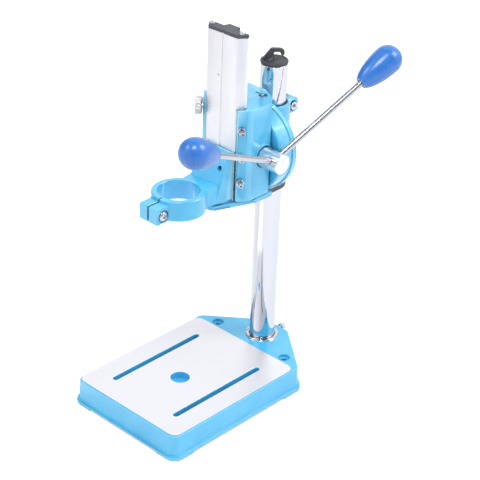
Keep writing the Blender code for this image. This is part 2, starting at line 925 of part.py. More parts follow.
def cut_bracket_holes(body):
    middle = (0.0, swivel_height)
    back = bracket_back + overrun
    cut(body, drum("Y", middle, spigot_radius + gap, bracket_back - spigot_depth - gap, back))
    for spot in swivel_places():
        hole = swivel_bolt_radius + gap
        cut(body, drum("Y", spot, hole, swivel_bolt_end - gap, back, coarse))
    for height in gib_screw_places:
        foot = gib_screw_foot(height)
        cut(body, pin(foot, flank_out, gib_screw_radius + gap, 0.0, gib_seat + overrun))
        cut(body, pin(foot, flank_out, gib_seat_radius, gib_seat, gib_seat_reach))
    hole = lock_stud_radius + gap
    cut(body, pin(joint_points["lock"], left_out, hole, 0.0, lock_knob_stand_off))


def make_bracket():
    body = prism("Z", bracket_outline(), bracket_bottom, bracket_top)
    add(body, bracket_drum())
    inside = bracket_half_width - side_boss_radius
    for side in (-1, 1):
        ends = sorted((side * inside, side * side_face))
        add(body, drum("X", (pinion_y, pinion_z), side_boss_radius, *ends, fine))
    up = (bracket_bottom - overrun, bracket_top + overrun)
    cut(body, prism("Z", channel_outline(), *up))
    feed_across = (-feed_channel_half_width, feed_channel_half_width)
    cut(body, box(feed_across, (channel_back - overrun, feed_channel_back), up))
    cut_shaft_seat(body)
    cut_bracket_holes(body)
    cut(body, drum("Z", (spring_x, spring_y), spring_bore_radius, *up))
    notch_across = (spring_x - spring_notch_length, spring_x)
    notch_along = (spring_y - spring_notch_half_width, spring_y + spring_notch_half_width)
    notch_up = (bracket_top - spring_notch_depth, bracket_top + overrun)
    cut(body, box(notch_across, notch_along, notch_up))
    place(body, "bracket_casting", "bracket", "paint")


def make_gib():
    far = gap + gib_thickness
    front_y = slide_front + gib_edge
    back_y = slide_back - slide_side_height - gib_edge
    outline = [
        (flank_x(front_y, gap), front_y),
        (flank_x(front_y, far), front_y),
        (flank_x(back_y, far), back_y),
        (flank_x(back_y, gap), back_y),
    ]
    strip = prism("Z", outline, bracket_bottom + gib_drop, bracket_top - gib_drop)
    place(strip, "gib_strip", "bracket", "steel")


def make_gib_screws():
    axis = (0.0, 0.0)
    start = gap + gib_thickness + gap
    end = start + gib_screw_length
    nut_start = gib_seat + gap
    screws = []
    nuts = []
    for height in gib_screw_places:
        foot = gib_screw_foot(height)
        screw = pin(foot, flank_out, gib_screw_radius, start, end)
        key = prism("Z", hexagon(axis, gib_screw_radius), end - socket_key_depth, end + overrun)
        screws.append(cut(screw, aim(key, foot, flank_out)))
        nut = prism("Z", hexagon(axis, gib_nut_flat), nut_start, nut_start + gib_nut_height)
        hole = pin(foot, flank_out, gib_screw_radius + gap, 0.0, end + overrun)
        nuts.append(cut(aim(nut, foot, flank_out), hole))
    place_each(screws, "gib_screw", "bracket", "zinc")
    place_each(nuts, "gib_locknut", "bracket", "zinc")


def make_bushes():
    line = (pinion_y, pinion_z)
    near = feed_channel_half_width + gap
    ends = {"right": (near, hub_start - 2 * gap), "left": (-bracket_half_width, -near)}
    for side, (low, high) in ends.items():
        bush = drum("X", line, bush_radius, low, high)
        cut(bush, drum("X", line, shaft_radius + gap, low - overrun, high + overrun))
        place(bush, "shaft_bush_" + side, "bracket", "bronze")


# Return spring: one wire wound in the bore, from the pin at the top to the holder's plate
def spring_path():
    count = spring_curls * spring_points
    path = []
    for index in range(count + 1):
        angle = 2 * math.pi * index / spring_points
        x = spring_x + spring_coil_radius * math.cos(angle)
        y = spring_y + spring_coil_radius * math.sin(angle)
        path.append(Vector((x, y, spring_top + (spring_bottom - spring_top) * index / count)))
    return path


def self_gap(path):
    near = spring_points // 2
    least = min(
        (path[first] - path[second]).length
        for first in range(len(path))
        for second in range(first + near, min(first + 2 * spring_points, len(path)))
    )
    return least - 2 * spring_wire_radius


def make_spring():
    path = spring_path()
    curve = bpy.data.curves.new("wire", "CURVE")
    curve.dimensions = "3D"
    curve.bevel_depth = spring_wire_radius
    curve.bevel_resolution = 1
    curve.use_fill_caps = True
    line = curve.splines.new("POLY")
    line.points.add(len(path) - 1)
    for point, place_on_wire in zip(line.points, path):
        point.co = (*place_on_wire, 1.0)
    wire = bpy.data.objects.new("wire", curve)
    bpy.context.scene.collection.objects.link(wire)
    graph = bpy.context.evaluated_depsgraph_get()
    mesh = bpy.data.meshes.new_from_object(wire.evaluated_get(graph))
    bpy.data.objects.remove(wire)
    spring = bpy.data.objects.new("spring", mesh)
    bpy.context.scene.collection.objects.link(spring)
    place(spring, "return_spring", "bracket", "steel")
    print("return spring, least gap between its curls in metres:", self_gap(path))


def make_spring_pin():
    height = bracket_top - spring_notch_depth + spring_pin_radius + gap
    start = Vector((spring_x - spring_notch_length + gap, spring_y, height))
    length = spring_notch_length + spring_bore_radius - 2 * gap
    across = Vector((1.0, 0.0, 0.0))
    place(pin(start, across, spring_pin_radius, 0.0, length), "spring_pin", "bracket", "steel")


# Lock: a knurled knob on a stud that presses the slide's left flank
def knurl_outline(radius):
    count = lock_knob_flutes * 4
    outline = []
    for step in range(count):
        angle = 2 * math.pi * step / count
        inward = lock_knob_flute_depth * (1 - math.cos(angle * lock_knob_flutes)) / 2
        reach = radius - inward
        outline.append((reach * math.cos(angle), reach * math.sin(angle)))
    return outline


def make_lock():
    point = joint_points["lock"]
    low = lock_knob_stand_off
    high = low + lock_knob_thickness
    edge = lock_knob_radius - lock_knob_edge_radius
    levels = [
        (knurl_outline(lock_knob_edge_radius), low),
        (knurl_outline(lock_knob_radius), low + edge),
        (knurl_outline(lock_knob_radius), high - edge),
        (knurl_outline(lock_knob_edge_radius), high),
    ]
    knob = aim(stack("Z", levels), point, left_out)
    bore_end = low + lock_knob_bore_depth
    cut(knob, pin(point, left_out, lock_stud_radius + gap, 0.0, bore_end))
    place(knob, "lock_knob", "lock", "nickel")
    stud = pin(point, left_out, lock_stud_radius, 2 * gap, bore_end - gap)
    place(stud, "lock_stud", "lock", "zinc")


# Slide
def slide_outline():
    half = [
        (slide_groove_half_width, slide_front),
        (slide_front_half_width, slide_front),
        (slide_back_half_width, slide_back - slide_side_height),
        (slide_back_half_width, slide_back),
        (slide_hump_half_width, slide_back),
        (slide_hump_half_width - slide_hump_taper, slide_hump_back),
    ]
    return both_sides(half) + [(0.0, slide_front + slide_groove_depth)]


def make_slide_rail():
    rail = prism("Z", slide_outline(), slide_bottom, slide_top)
    up = (slide_bottom - overrun, slide_top + overrun)
    front_y = slide_front + slide_chamber_wall
    back_y = slide_back - slide_chamber_wall
    before = slide_front - overrun
    for side in (-1, 1):
        across = sorted((side * slide_chamber_near, side * slide_chamber_far))
        cut(rail, box(across, (front_y, back_y), up))
        port = (side * slide_port_x, slide_port_y)
        cut(rail, drum("Z", port, slide_port_radius, *up, coarse))
        spot = (side * holder_screw_x, holder_screw_z)
        hole = holder_screw_radius + gap
        cut(rail, drum("Y", spot, hole, before, front_y + overrun, coarse))
    half = rack_half_width + gap
    cut(rail, box((-half, half), (rack_front - gap, slide_hump_back + overrun), up))
    pit = slide_front + front_hole_depth
    cut(rail, drum("Y", (front_hole_x, front_hole_z), front_hole_radius, before, pit, coarse))
    for height in rack_pin_places:
        end = rack_front - gap + joined
        hole = rack_pin_radius + gap
        cut(rail, drum("Y", (0.0, height), hole, end - rack_pin_length, end, coarse))
    place(rail, "slide_rail", "slide", "aluminium")


def make_slide_cap():
    low = slide_top + gap
    high = low + end_cap_thickness
    outline = slide_outline()
    middle = Vector((0.0, (slide_front + slide_hump_back) / 2))
    shrink = 1 - end_cap_chamfer / slide_front_half_width
    inner = [middle + (Vector(point) - middle) * shrink for point in outline]
    cap = stack("Z", [(outline, low), (outline, high - end_cap_chamfer), (inner, high)])
    seat = high + gap
    head = [
        (cap_screw_head_radius, seat),
        (cap_screw_head_radius, seat + cap_screw_head_height / 2),
        (cap_screw_head_radius / 2, seat + cap_screw_head_height),
    ]
    screws = []
    for side in (-1, 1):
        port = (side * slide_port_x, slide_port_y)
        hole = cap_screw_radius + gap
        cut(cap, drum("Z", port, hole, low - overrun, high + overrun, coarse))
        shank = drum("Z", port, cap_screw_radius, seat - cap_screw_length, seat + gap, coarse)
        screws.append(add(shank, turned("Z", port, head, coarse)))
    place(cap, "slide_cap", "slide", "black")
    place_each(screws, "cap_screw", "slide", "zinc")


# Rack: straight teeth that face the pinion; one tooth lies level with the pinion's axis
def make_rack():
    tip = rack_pitch_y + rack_tip_share * gear_module
    slope = math.tan(pressure_angle)
    half = tooth_pitch / 4 - backlash / 4
    half_root = half + (rack_pitch_y - rack_root_y) * slope
    half_tip = half - (tip - rack_pitch_y) * slope
    low = pinion_z - (rack_low_teeth + 1 / 2) * tooth_pitch
    high = pinion_z + (rack_high_teeth + 1 / 2) * tooth_pitch
    outline = [(rack_front, low), (rack_root_y, low)]
    for index in range(-rack_low_teeth, rack_high_teeth + 1):
        middle = pinion_z + index * tooth_pitch
        outline += [
            (rack_root_y, middle - half_root),
            (tip, middle - half_tip),
            (tip, middle + half_tip),
            (rack_root_y, middle + half_root),
        ]
    outline += [(rack_root_y, high), (rack_front, high)]
    rack = prism("X", outline, -rack_half_width, rack_half_width)
    start = rack_front - overrun
    end = rack_root_y - gear_module
    for height in rack_pin_places:
        cut(rack, drum("Y", (0.0, height), rack_pin_radius + gap, start, end, coarse))
    place(rack, "rack", "slide", "steel")


def make_rack_pins():
    end = rack_root_y - gear_module - gap
    start = end - rack_pin_length
    pins = [drum("Y", (0.0, z), rack_pin_radius, start, end, coarse) for z in rack_pin_places]
    place_each(pins, "rack_pin", "slide", "zinc")


# Pinion: involute teeth on the shaft; a gap between two teeth faces the rack
def involute(angle):
    return math.tan(angle) - angle


def pinion_outline():
    base_radius = pinion_radius * math.cos(pressure_angle)
    root = pinion_radius - pinion_root_share * gear_module
    tip = pinion_radius + gear_module
    half_at_pitch = (tooth_pitch - backlash) / 4 / pinion_radius
    half_at_base = half_at_pitch + involute(pressure_angle)
    flank = [(root, half_at_base)]
    for step in range(corner_steps + 1):
        radius = base_radius + (tip - base_radius) * step / corner_steps
        flank.append((radius, half_at_base - involute(math.acos(base_radius / radius))))
    outline = []
    for index in range(pinion_teeth):
        middle = math.pi + (2 * index + 1) * math.pi / pinion_teeth
        rising = [(radius, middle - half) for radius, half in flank]
        falling = [(radius, middle + half) for radius, half in reversed(flank)]
        for radius, angle in rising + falling:
            y = pinion_y + radius * math.cos(angle)
            outline.append((y, pinion_z + radius * math.sin(angle)))
    return outline


def make_pinion_shaft():
    shaft = drum("X", (pinion_y, pinion_z), shaft_radius, shaft_left, shaft_right)
    add(shaft, prism("X", pinion_outline(), -pinion_half_width, pinion_half_width))
    place(shaft, "pinion_shaft", "crank", "steel")


def make_retaining_ring():
    line = (pinion_y, pinion_z)
    high = -side_face - gap
    low = high - retaining_ring_thickness
    ring = drum("X", line, retaining_ring_radius, low, high)
    cut(ring, drum("X", line, shaft_radius + gap, low - overrun, high + overrun))
    place(ring, "retaining_ring", "crank", "steel")


# Crank
def rod_direction(azimuth):
    outward = math.sin(rod_lean)
    away = math.cos(rod_lean)
    return Vector((outward, away * math.cos(azimuth), away * math.sin(azimuth)))


def make_hub():
    line = (pinion_y, pinion_z)
    profile = [
        (hub_radius - hub_chamfer, hub_start),
        (hub_radius, hub_start + hub_chamfer),
        (hub_radius, hub_end - hub_chamfer),
        (hub_radius - hub_chamfer, hub_end),
    ]
    hub = turned("X", line, profile, fine)
    cut(hub, drum("X", line, shaft_radius + gap, hub_start - overrun, shaft_right + gap))
    far = hub_radius + overrun
    for azimuth in rod_angles.values():
        hole = rod_radius + gap
        cut(hub, pin(rod_cross, rod_direction(azimuth), hole, rod_seat - gap, far, medium))
    screw_root = Vector((hub_screw_x, pinion_y, pinion_z))
    up = Vector((0.0, math.cos(hub_screw_angle), math.sin(hub_screw_angle)))
    cut(hub, pin(screw_root, up, hub_screw_radius + gap, shaft_radius, far))
    place(hub, "crank_hub", "crank", "chrome")
    start = shaft_radius + gap
    screw = pin(screw_root, up, hub_screw_radius, start, start + hub_screw_length)
    place(screw, "hub_set_screw", "crank", "steel")


def make_rods():
    end = knob_start + knob_bore_depth - gap
    for name, azimuth in rod_angles.items():
        rod = pin(rod_cross, rod_direction(azimuth), rod_radius, rod_seat, end, medium)
        place(rod, "crank_rod_" + name, "crank", "chrome")


# Egg profile: half an ellipse cut off at the rod's end, then half a ball
def knob_profile():
    share = knob_end_radius / knob_radius
    reach = (knob_widest - knob_start) / math.sqrt(1 - share * share)
    profile = []
    for step in range(knob_steps + 1):
        along = knob_start + (knob_widest - knob_start) * math.sin(math.pi / 2 * step / knob_steps)
        inward = (knob_widest - along) / reach
        profile.append((knob_radius * math.sqrt(1 - inward * inward), along))
    for step in range(1, knob_steps):
        angle = math.pi / 2 * step / knob_steps
        profile.append((knob_radius * math.cos(angle), knob_widest + knob_radius * math.sin(angle)))
    profile.append((knob_pole_radius, knob_widest + knob_radius))
    return profile


def make_knobs():
    for name, azimuth in rod_angles.items():
        direction = rod_direction(azimuth)
        knob = aim(turned("Z", (0.0, 0.0), knob_profile()), rod_cross, direction)
        hole = rod_radius + gap
        start = knob_start - overrun
        end = knob_start + knob_bore_depth
        cut(knob, pin(rod_cross, direction, hole, start, end, medium))
        place(knob, "knob_" + name, "crank", "knob")


# Holder
def plate_outline():
    half = [
        (plate_nose_half_width, plate_nose),
        plate_neck,
        plate_waist,
        plate_hip,
        (plate_back_half_width, plate_back),
    ]
    return both_sides(half)


# The arm and the wedge: a side view cut to the plan
def holder_arm():
    side = [
        (arm_front, collar_bottom),
        (holder_back, collar_bottom),
        (holder_back, wedge_top),
        (wedge_top_y, wedge_top),
        (wedge_foot, arm_top),
        (arm_front, arm_top),
    ]
    plan = [
        (arm_front_half_width, arm_front - overrun),
        (arm_middle_half_width, arm_middle),
        (arm_back_half_width, arm_widest),
        (arm_back_half_width, holder_back + overrun),
    ]
    reach = arm_back_half_width + overrun
    arm = prism("X", side, -reach, reach)
    up = (collar_bottom - overrun, wedge_top + overrun)
    combine(arm, prism("Z", both_sides(plan), *up), "INTERSECT")
    return arm


def web_outline():
    half = [
        (web_nose_half_width, web_nose),
        (web_middle_half_width, arm_widest),
        (web_back_half_width, holder_back),
    ]
    return both_sides(half)


def cut_collar(body):
    up = (collar_bottom - overrun, collar_top + overrun)
    cut(body, drum("Z", (0.0, collar_y), collar_bore, *up, fine))
    slit_along = (collar_ear_front - overrun, collar_y - collar_bore + overrun)
    cut(body, box((-slit_half_width, slit_half_width), slit_along, up))
    line = (collar_bolt_y, collar_bolt_z)
    far = collar_ear_half_width + collar_bore
    cut(body, drum("X", line, collar_bolt_radius + gap, -far, far, coarse))
    cut(body, drum("X", line, collar_spot_radius, collar_head_seat, far))
    cut(body, drum("X", line, collar_spot_radius, -far, -collar_head_seat))


def cut_holder_screws(body):
    below = plate_bottom - overrun
    above = plate_top + overrun
    for side in (-1, 1):
        spot = (side * holder_screw_x, holder_screw_z)
        cut(body, drum("Y", spot, holder_screw_radius + gap, arm_middle, slide_front, coarse))
        cut(body, drum("Y", spot, holder_head_radius + gap, arm_middle, holder_head_seat, coarse))
        port = (side * slide_port_x, slide_port_y)
        sink = plate_bottom + foot_head_height + gap
        cut(body, drum("Z", port, foot_screw_radius + gap, below, above, coarse))
        cut(body, drum("Z", port, foot_head_radius + gap, below, sink, coarse))
    cut(body, drum("Z", (spring_x, spring_y), plate_hook_radius, below, above, coarse))


def make_holder():
    ring = [
        (collar_radius - collar_edge, collar_bottom),
        (collar_radius, collar_bottom + collar_edge),
        (collar_radius, collar_top - collar_edge),
        (collar_radius - collar_edge, collar_top),
    ]
    body = turned("Z", (0.0, collar_y), ring, fine)
    ears = rectangle(collar_ear_front, collar_ear_back, collar_ear_low, collar_ear_high)
    ears_outline = rounded(ears, collar_ear_round)
    add(body, prism("X", ears_outline, -collar_ear_half_width, collar_ear_half_width))
    add(body, holder_arm())
    add(body, prism("Z", plate_outline(), plate_bottom, plate_top))
    add(body, prism("Z", web_outline(), plate_bottom + joined, collar_bottom + joined))
    spring_spot = (spring_x, spring_y)
    add(body, drum("Z", spring_spot, plate_ear_radius, plate_bottom, plate_top, coarse))
    cut_collar(body)
    cut_holder_screws(body)
    place(body, "drill_holder", "slide", "paint")


def make_holder_screws():
    seat = holder_head_seat - gap
    end = seat + holder_screw_length
    head_top = plate_bottom + foot_head_height
    foot_end = head_top + foot_screw_length
    screws = []
    feet = []
    for side in (-1, 1):
        spot = (side * holder_screw_x, holder_screw_z)
        shank = drum("Y", spot, holder_screw_radius, seat - gap, end, coarse)
        head = drum("Y", spot, holder_head_radius, seat - holder_head_height, seat, coarse)
        screws.append(add(shank, head))
        port = (side * slide_port_x, slide_port_y)
        stem = drum("Z", port, foot_screw_radius, head_top - gap, foot_end, coarse)
        feet.append(add(stem, drum("Z", port, foot_head_radius, plate_bottom, head_top, coarse)))
    place_each(screws, "holder_screw", "slide", "zinc")
    place_each(feet, "foot_screw", "slide", "zinc")


def make_collar_bolt():
    line = (collar_bolt_y, collar_bolt_z)
    seat = collar_head_seat + gap
    nut_end = -seat - collar_nut_height
    bolt = drum("X", line, collar_bolt_radius, nut_end - gap, seat + joined, coarse)
    head = [
        (collar_head_radius, seat),
        (collar_head_radius, seat + collar_head_height / 2),
        (collar_head_radius / 2, seat + collar_head_height),
    ]
    add(bolt, turned("X", line, head))
    place(bolt, "collar_bolt", "slide", "zinc")
    nut = prism("X", hexagon(line, collar_nut_flat), nut_end, -seat)
    cut(nut, drum("X", line, collar_bolt_radius + gap, nut_end - overrun, -seat + overrun, coarse))
    place(nut, "collar_nut", "slide", "zinc")


clear_scene()
finishes = make_finishes()
frames = make_frames()
make_base()
make_set_bolt()
make_column()
make_column_cap()
make_clamp()
make_liner()
make_clamp_bolt()
make_swivel_bolts()
make_bracket()
make_gib()
make_gib_screws()
make_bushes()
make_spring()
make_spring_pin()
make_lock()
make_slide_rail()
make_slide_cap()
make_rack()
make_rack_pins()
make_pinion_shaft()
make_retaining_ring()
make_hub()
make_rods()
make_knobs()
make_holder()
make_holder_screws()
make_collar_bolt()
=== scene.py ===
import json
import math

import bmesh
import bpy
from mathutils import Matrix, Vector

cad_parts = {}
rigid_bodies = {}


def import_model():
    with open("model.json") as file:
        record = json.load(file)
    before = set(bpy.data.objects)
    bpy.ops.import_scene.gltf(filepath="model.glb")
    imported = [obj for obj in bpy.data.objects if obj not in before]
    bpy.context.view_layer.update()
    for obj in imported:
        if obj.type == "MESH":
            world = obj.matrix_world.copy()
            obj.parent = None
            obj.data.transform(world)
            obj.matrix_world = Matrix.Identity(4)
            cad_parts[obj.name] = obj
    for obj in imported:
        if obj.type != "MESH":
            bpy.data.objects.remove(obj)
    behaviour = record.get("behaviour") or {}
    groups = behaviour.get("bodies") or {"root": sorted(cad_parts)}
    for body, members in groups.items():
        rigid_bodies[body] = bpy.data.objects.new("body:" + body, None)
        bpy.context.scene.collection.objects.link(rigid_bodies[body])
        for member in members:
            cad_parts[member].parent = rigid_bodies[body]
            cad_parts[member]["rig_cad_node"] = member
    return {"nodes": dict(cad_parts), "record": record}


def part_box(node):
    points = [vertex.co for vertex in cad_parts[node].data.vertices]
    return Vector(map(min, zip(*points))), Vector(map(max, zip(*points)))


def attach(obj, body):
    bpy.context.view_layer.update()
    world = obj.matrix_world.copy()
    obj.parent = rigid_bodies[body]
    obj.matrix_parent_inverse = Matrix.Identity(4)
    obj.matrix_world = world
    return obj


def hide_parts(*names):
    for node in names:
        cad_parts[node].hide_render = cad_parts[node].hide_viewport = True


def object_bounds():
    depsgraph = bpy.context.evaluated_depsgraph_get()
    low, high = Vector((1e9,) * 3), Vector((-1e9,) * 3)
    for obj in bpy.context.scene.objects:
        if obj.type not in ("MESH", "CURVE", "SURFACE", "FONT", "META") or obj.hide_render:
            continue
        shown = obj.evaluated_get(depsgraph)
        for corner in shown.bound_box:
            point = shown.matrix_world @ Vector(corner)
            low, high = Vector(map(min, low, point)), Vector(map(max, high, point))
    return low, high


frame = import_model()
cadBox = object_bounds()
nodes = frame["nodes"]
# Lengths are in metres, and Z is up, except where a note says otherwise
bench = cadBox[0][2]  # height of the surface that the stand is on
scene = bpy.context.scene
scene.view_settings.view_transform = "Standard"


# The camera stands where the photograph was taken

cameraView = {
    "place": (0.9621, -1.0885, 0.9529),
    "turn": (60.9007, -1.8520, 43.6069),  # degrees about X, Y and Z
    "lens": 116.09,  # millimetres, on a sensor 36 mm wide
    "sensor": 36.0,
}


def makeCamera(values):
    data = bpy.data.cameras.new("camera")
    data.lens = values["lens"]
    data.sensor_width = values["sensor"]
    camera = bpy.data.objects.new("camera", data)
    camera.location = values["place"]
    camera.rotation_euler = [math.radians(angle) for angle in values["turn"]]
    scene.collection.objects.link(camera)
    scene.camera = camera


# Materials

white = (1, 1, 1, 1)
noiseRange = {"From Min": 0.3, "From Max": 0.7}  # nearly all of a noise texture's values lie in it
hollowRays = 6  # rays that look for walls round each spot


def hexColour(code):
    shades = [int(code[i:i + 2], 16) / 255 for i in (0, 2, 4)]
    return [c / 12.92 if c <= 0.04045 else ((c + 0.055) / 1.055) ** 2.4 for c in shades] + [1.0]


def connect(tree, node, links):
    # links: an input's name or number -> a value, an output, or a node for its first output in use
    for key, value in links.items():
        named = [socket for socket in node.inputs if socket.enabled and socket.name == key]
        target = named[0] if named else node.inputs[key]
        if isinstance(value, bpy.types.Node):
            value = next(socket for socket in value.outputs if socket.enabled)
        if isinstance(value, bpy.types.NodeSocket):
            tree.links.new(value, target)
        else:
            target.default_value = value


def addNode(tree, kind, links=None, **settings):
    node = tree.nodes.new("ShaderNode" + kind)
    for name, value in settings.items():
        setattr(node, name, value)
    connect(tree, node, links or {})
    return node


def newMaterial(name):
    material = bpy.data.materials.new(name)
    material.use_nodes = True
    tree = material.node_tree
    return material, tree, tree.nodes["Principled BSDF"]


enamel = {
    "colour": hexColour("4BBDEA"),
    "deep": hexColour("3FB2E4"),
    "blotch": 28.0,  # millimetres from one blotch to the next
    # painted highlight: the paler blue that sharp edges are drawn towards
    "edge": hexColour("92DAF6"),
    "edgeBend": (0.53, 0.60),  # pointiness at which the painted edge highlight starts, and is full
    # painted shade: the dark blue that hollows, gaps and corners are drawn towards
    "recess": hexColour("234F66"),
    "reach": 0.006,  # how near a wall has to be to shade a spot
    "open": 0.60,  # share of open surroundings above which nothing is shaded
    "peel": 1.7,  # millimetres from one dimple to the next
    "peelDetail": 3.0,
    "peelStrength": 0.10,
    "peelHeight": 0.0003,
    "roughness": (0.28, 0.38),
    "gloss": {"IOR": 1.52, "Coat Weight": 1.0, "Coat Roughness": 0.10},
}


def powderCoatedZinc(values):
    # Powder coat on a die casting: an even glossy sky blue with orange peel, paler over sharp edges as a
    # painted highlight, and deeper in hollows, gaps and corners as painted shade
    material, tree, shader = newMaterial("powderCoatedCasting")
    spot = addNode(tree, "TexCoord").outputs["Object"]
    blotch = addNode(tree, "TexNoise", {"Vector": spot, "Scale": 1000 / values["blotch"]})
    share = addNode(tree, "MapRange", {"Value": blotch, **noiseRange})
    body = addNode(tree, "Mix", {"Factor": share, "A": values["colour"], "B": values["deep"]},
                   data_type="RGBA")
    start, full = values["edgeBend"]
    bend = addNode(tree, "NewGeometry").outputs["Pointiness"]
    onEdge = addNode(tree, "MapRange", {"Value": bend, "From Min": start, "From Max": full})
    # Sharp edges are drawn paler, as a painted highlight
    edgeHighlit = addNode(tree, "Mix", {"Factor": onEdge, "A": body, "B": values["edge"]}, data_type="RGBA")
    around = addNode(tree, "AmbientOcclusion", {"Distance": values["reach"]}, samples=hollowRays)
    paintedShadeShare = addNode(tree, "MapRange", {"Value": around.outputs["AO"], "From Max": values["open"],
                                          "To Min": 1, "To Max": 0})
    colour = addNode(tree, "Mix", {"Factor": paintedShadeShare, "A": edgeHighlit, "B": values["recess"]},
                     data_type="RGBA")
    low, high = values["roughness"]
    satin = addNode(tree, "MapRange", {"Value": blotch, **noiseRange, "To Min": low, "To Max": high})
    peel = addNode(tree, "TexNoise", {"Vector": spot, "Scale": 1000 / values["peel"],
                                      "Detail": values["peelDetail"]})
    bump = addNode(tree, "Bump", {"Height": peel, "Strength": values["peelStrength"],
                                  "Distance": values["peelHeight"]})
    connect(tree, shader, {"Base Color": colour, "Roughness": satin, "Normal": bump, **values["gloss"]})
    return material


ground = {
    "colour": hexColour("EDEDF2"),
    "metallic": 0.62,
    "stretch": (0.02, 1, 1),  # the marks run along X, across the table
    "mark": 0.5,  # millimetres from one mark to the next, coarser than real ones so that they show
    "detail": 3.0,
    "raggedness": 0.7,
    "roughness": (0.33, 0.40),
    "strength": 0.02,
    "height": 0.0001,
}


def groundZinc(values):
    # The casting's ground table face: bare pale metal, satin, with fine straight marks across it
    material, tree, shader = newMaterial("groundTableFace")
    spot = addNode(tree, "TexCoord").outputs["Object"]
    stretched = addNode(tree, "Mapping", {"Vector": spot, "Scale": values["stretch"]})
    lines = addNode(tree, "TexNoise", {"Vector": stretched, "Scale": 1000 / values["mark"],
                                       "Detail": values["detail"], "Roughness": values["raggedness"]})
    low, high = values["roughness"]
    satin = addNode(tree, "MapRange", {"Value": lines, **noiseRange, "To Min": low, "To Max": high})
    bump = addNode(tree, "Bump", {"Height": lines, "Strength": values["strength"],
                                  "Distance": values["height"]})
    connect(tree, shader, {"Base Color": values["colour"], "Metallic": values["metallic"],
                           "Roughness": satin, "Normal": bump})
    return material


dull = ("B8BAC2", 0.3)  # the clouds' colour, and their largest share
# Name, colour, clouds, roughness from and to, grain in millimetres, and how strong the grain is. The grain
# is drawn coarser than a real one, so that it shows.
plated = {
    "chrome": ("polishedChromePlate", "DBDDE4", ("BCC0CC", 0.08), (0.04, 0.09), 9.0, 0.02),  # clear mirror
    "rodChrome": ("drawnChromePlate", "CFD1D8", dull, (0.21, 0.27), 9.0, 0.02),  # softer, grey mirror
    "satinChrome": ("satinChromePlate", "ECEDF1", dull, (0.26, 0.34), 6.0, 0.03),  # pale and soft
    "blackOxide": ("blackOxideSteel", "2E2F33", dull, (0.40, 0.50), 0.5, 0.10),  # dark and dry
    "zinc": ("brightZincPlate", "D8DAE0", dull, (0.22, 0.36), 0.8, 0.12),  # bright, a little cloudy
    "steel": ("groundSteel", "A4A6AC", dull, (0.28, 0.40), 0.5, 0.15),  # plain grey metal
    "bronze": ("sinteredBronze", "A98A5E", dull, (0.40, 0.55), 0.4, 0.25),  # brown and grainy
    "nickel": ("satinNickelPlate", "E6E5E2", dull, (0.44, 0.54), 0.6, 0.12),  # warm white satin
}
platedRelief = {
    "cloud": 6,  # grains from one cloud to the next
    "height": 0.0001,
}


def platedMetal(name, code, clouds, roughness, grain, strength):
    # Plated or bare metal: its tone and roughness wander a little, with a faint grain of its own
    material, tree, shader = newMaterial(name)
    spot = addNode(tree, "TexCoord").outputs["Object"]
    cloud = addNode(tree, "TexNoise", {"Vector": spot, "Scale": 1000 / (grain * platedRelief["cloud"])})
    cloudCode, most = clouds
    share = addNode(tree, "MapRange", {"Value": cloud, **noiseRange, "To Max": most})
    tint = addNode(tree, "Mix", {"Factor": share, "A": hexColour(code), "B": hexColour(cloudCode)},
                   data_type="RGBA")
    low, high = roughness
    sheen = addNode(tree, "MapRange", {"Value": cloud, **noiseRange, "To Min": low, "To Max": high})
    fine = addNode(tree, "TexNoise", {"Vector": spot, "Scale": 1000 / grain})
    bump = addNode(tree, "Bump", {"Height": fine, "Strength": strength, "Distance": platedRelief["height"]})
    connect(tree, shader, {"Base Color": tint, "Metallic": 1.0, "Roughness": sheen, "Normal": bump})
    return material


anodised = {
    "colour": hexColour("F4F4F7"),
    "streak": hexColour("D2D3DA"),
    "streakShare": 0.25,
    # painted shade: the dark grey that holes and inner corners are drawn towards
    "recess": hexColour("4A4B50"),
    "reach": 0.0015,  # how near a wall has to be to shade a spot
    "open": 0.5,  # share of open surroundings above which nothing is shaded
    "stretch": (1, 1, 0.01),  # the lines run along Z
    "line": 0.45,  # millimetres from one line to the next, coarser than real ones so that they show
    "detail": 3.0,
    "raggedness": 0.7,
    "roughness": (0.40, 0.52),
    "strength": 0.12,
    "height": 0.0001,
}


def anodisedAluminium(values):
    # Clear anodised extrusion: silvery white, satin, with the die's fine lines running along it, and painted
    # shade darkening its holes and inner corners
    material, tree, shader = newMaterial("clearAnodisedAluminium")
    spot = addNode(tree, "TexCoord").outputs["Object"]
    stretched = addNode(tree, "Mapping", {"Vector": spot, "Scale": values["stretch"]})
    lines = addNode(tree, "TexNoise", {"Vector": stretched, "Scale": 1000 / values["line"],
                                       "Detail": values["detail"], "Roughness": values["raggedness"]})
    share = addNode(tree, "MapRange", {"Value": lines, **noiseRange, "To Max": values["streakShare"]})
    streaks = addNode(tree, "Mix", {"Factor": share, "A": values["colour"], "B": values["streak"]},
                      data_type="RGBA")
    around = addNode(tree, "AmbientOcclusion", {"Distance": values["reach"]}, samples=hollowRays)
    paintedShadeShare = addNode(tree, "MapRange", {"Value": around.outputs["AO"], "From Max": values["open"],
                                          "To Min": 1, "To Max": 0})
    colour = addNode(tree, "Mix", {"Factor": paintedShadeShare, "A": streaks, "B": values["recess"]},
                     data_type="RGBA")
    low, high = values["roughness"]
    satin = addNode(tree, "MapRange", {"Value": lines, **noiseRange, "To Min": low, "To Max": high})
    bump = addNode(tree, "Bump", {"Height": lines, "Strength": values["strength"],
                                  "Distance": values["height"]})
    connect(tree, shader, {"Base Color": colour, "Metallic": 1.0, "Roughness": satin, "Normal": bump})
    return material


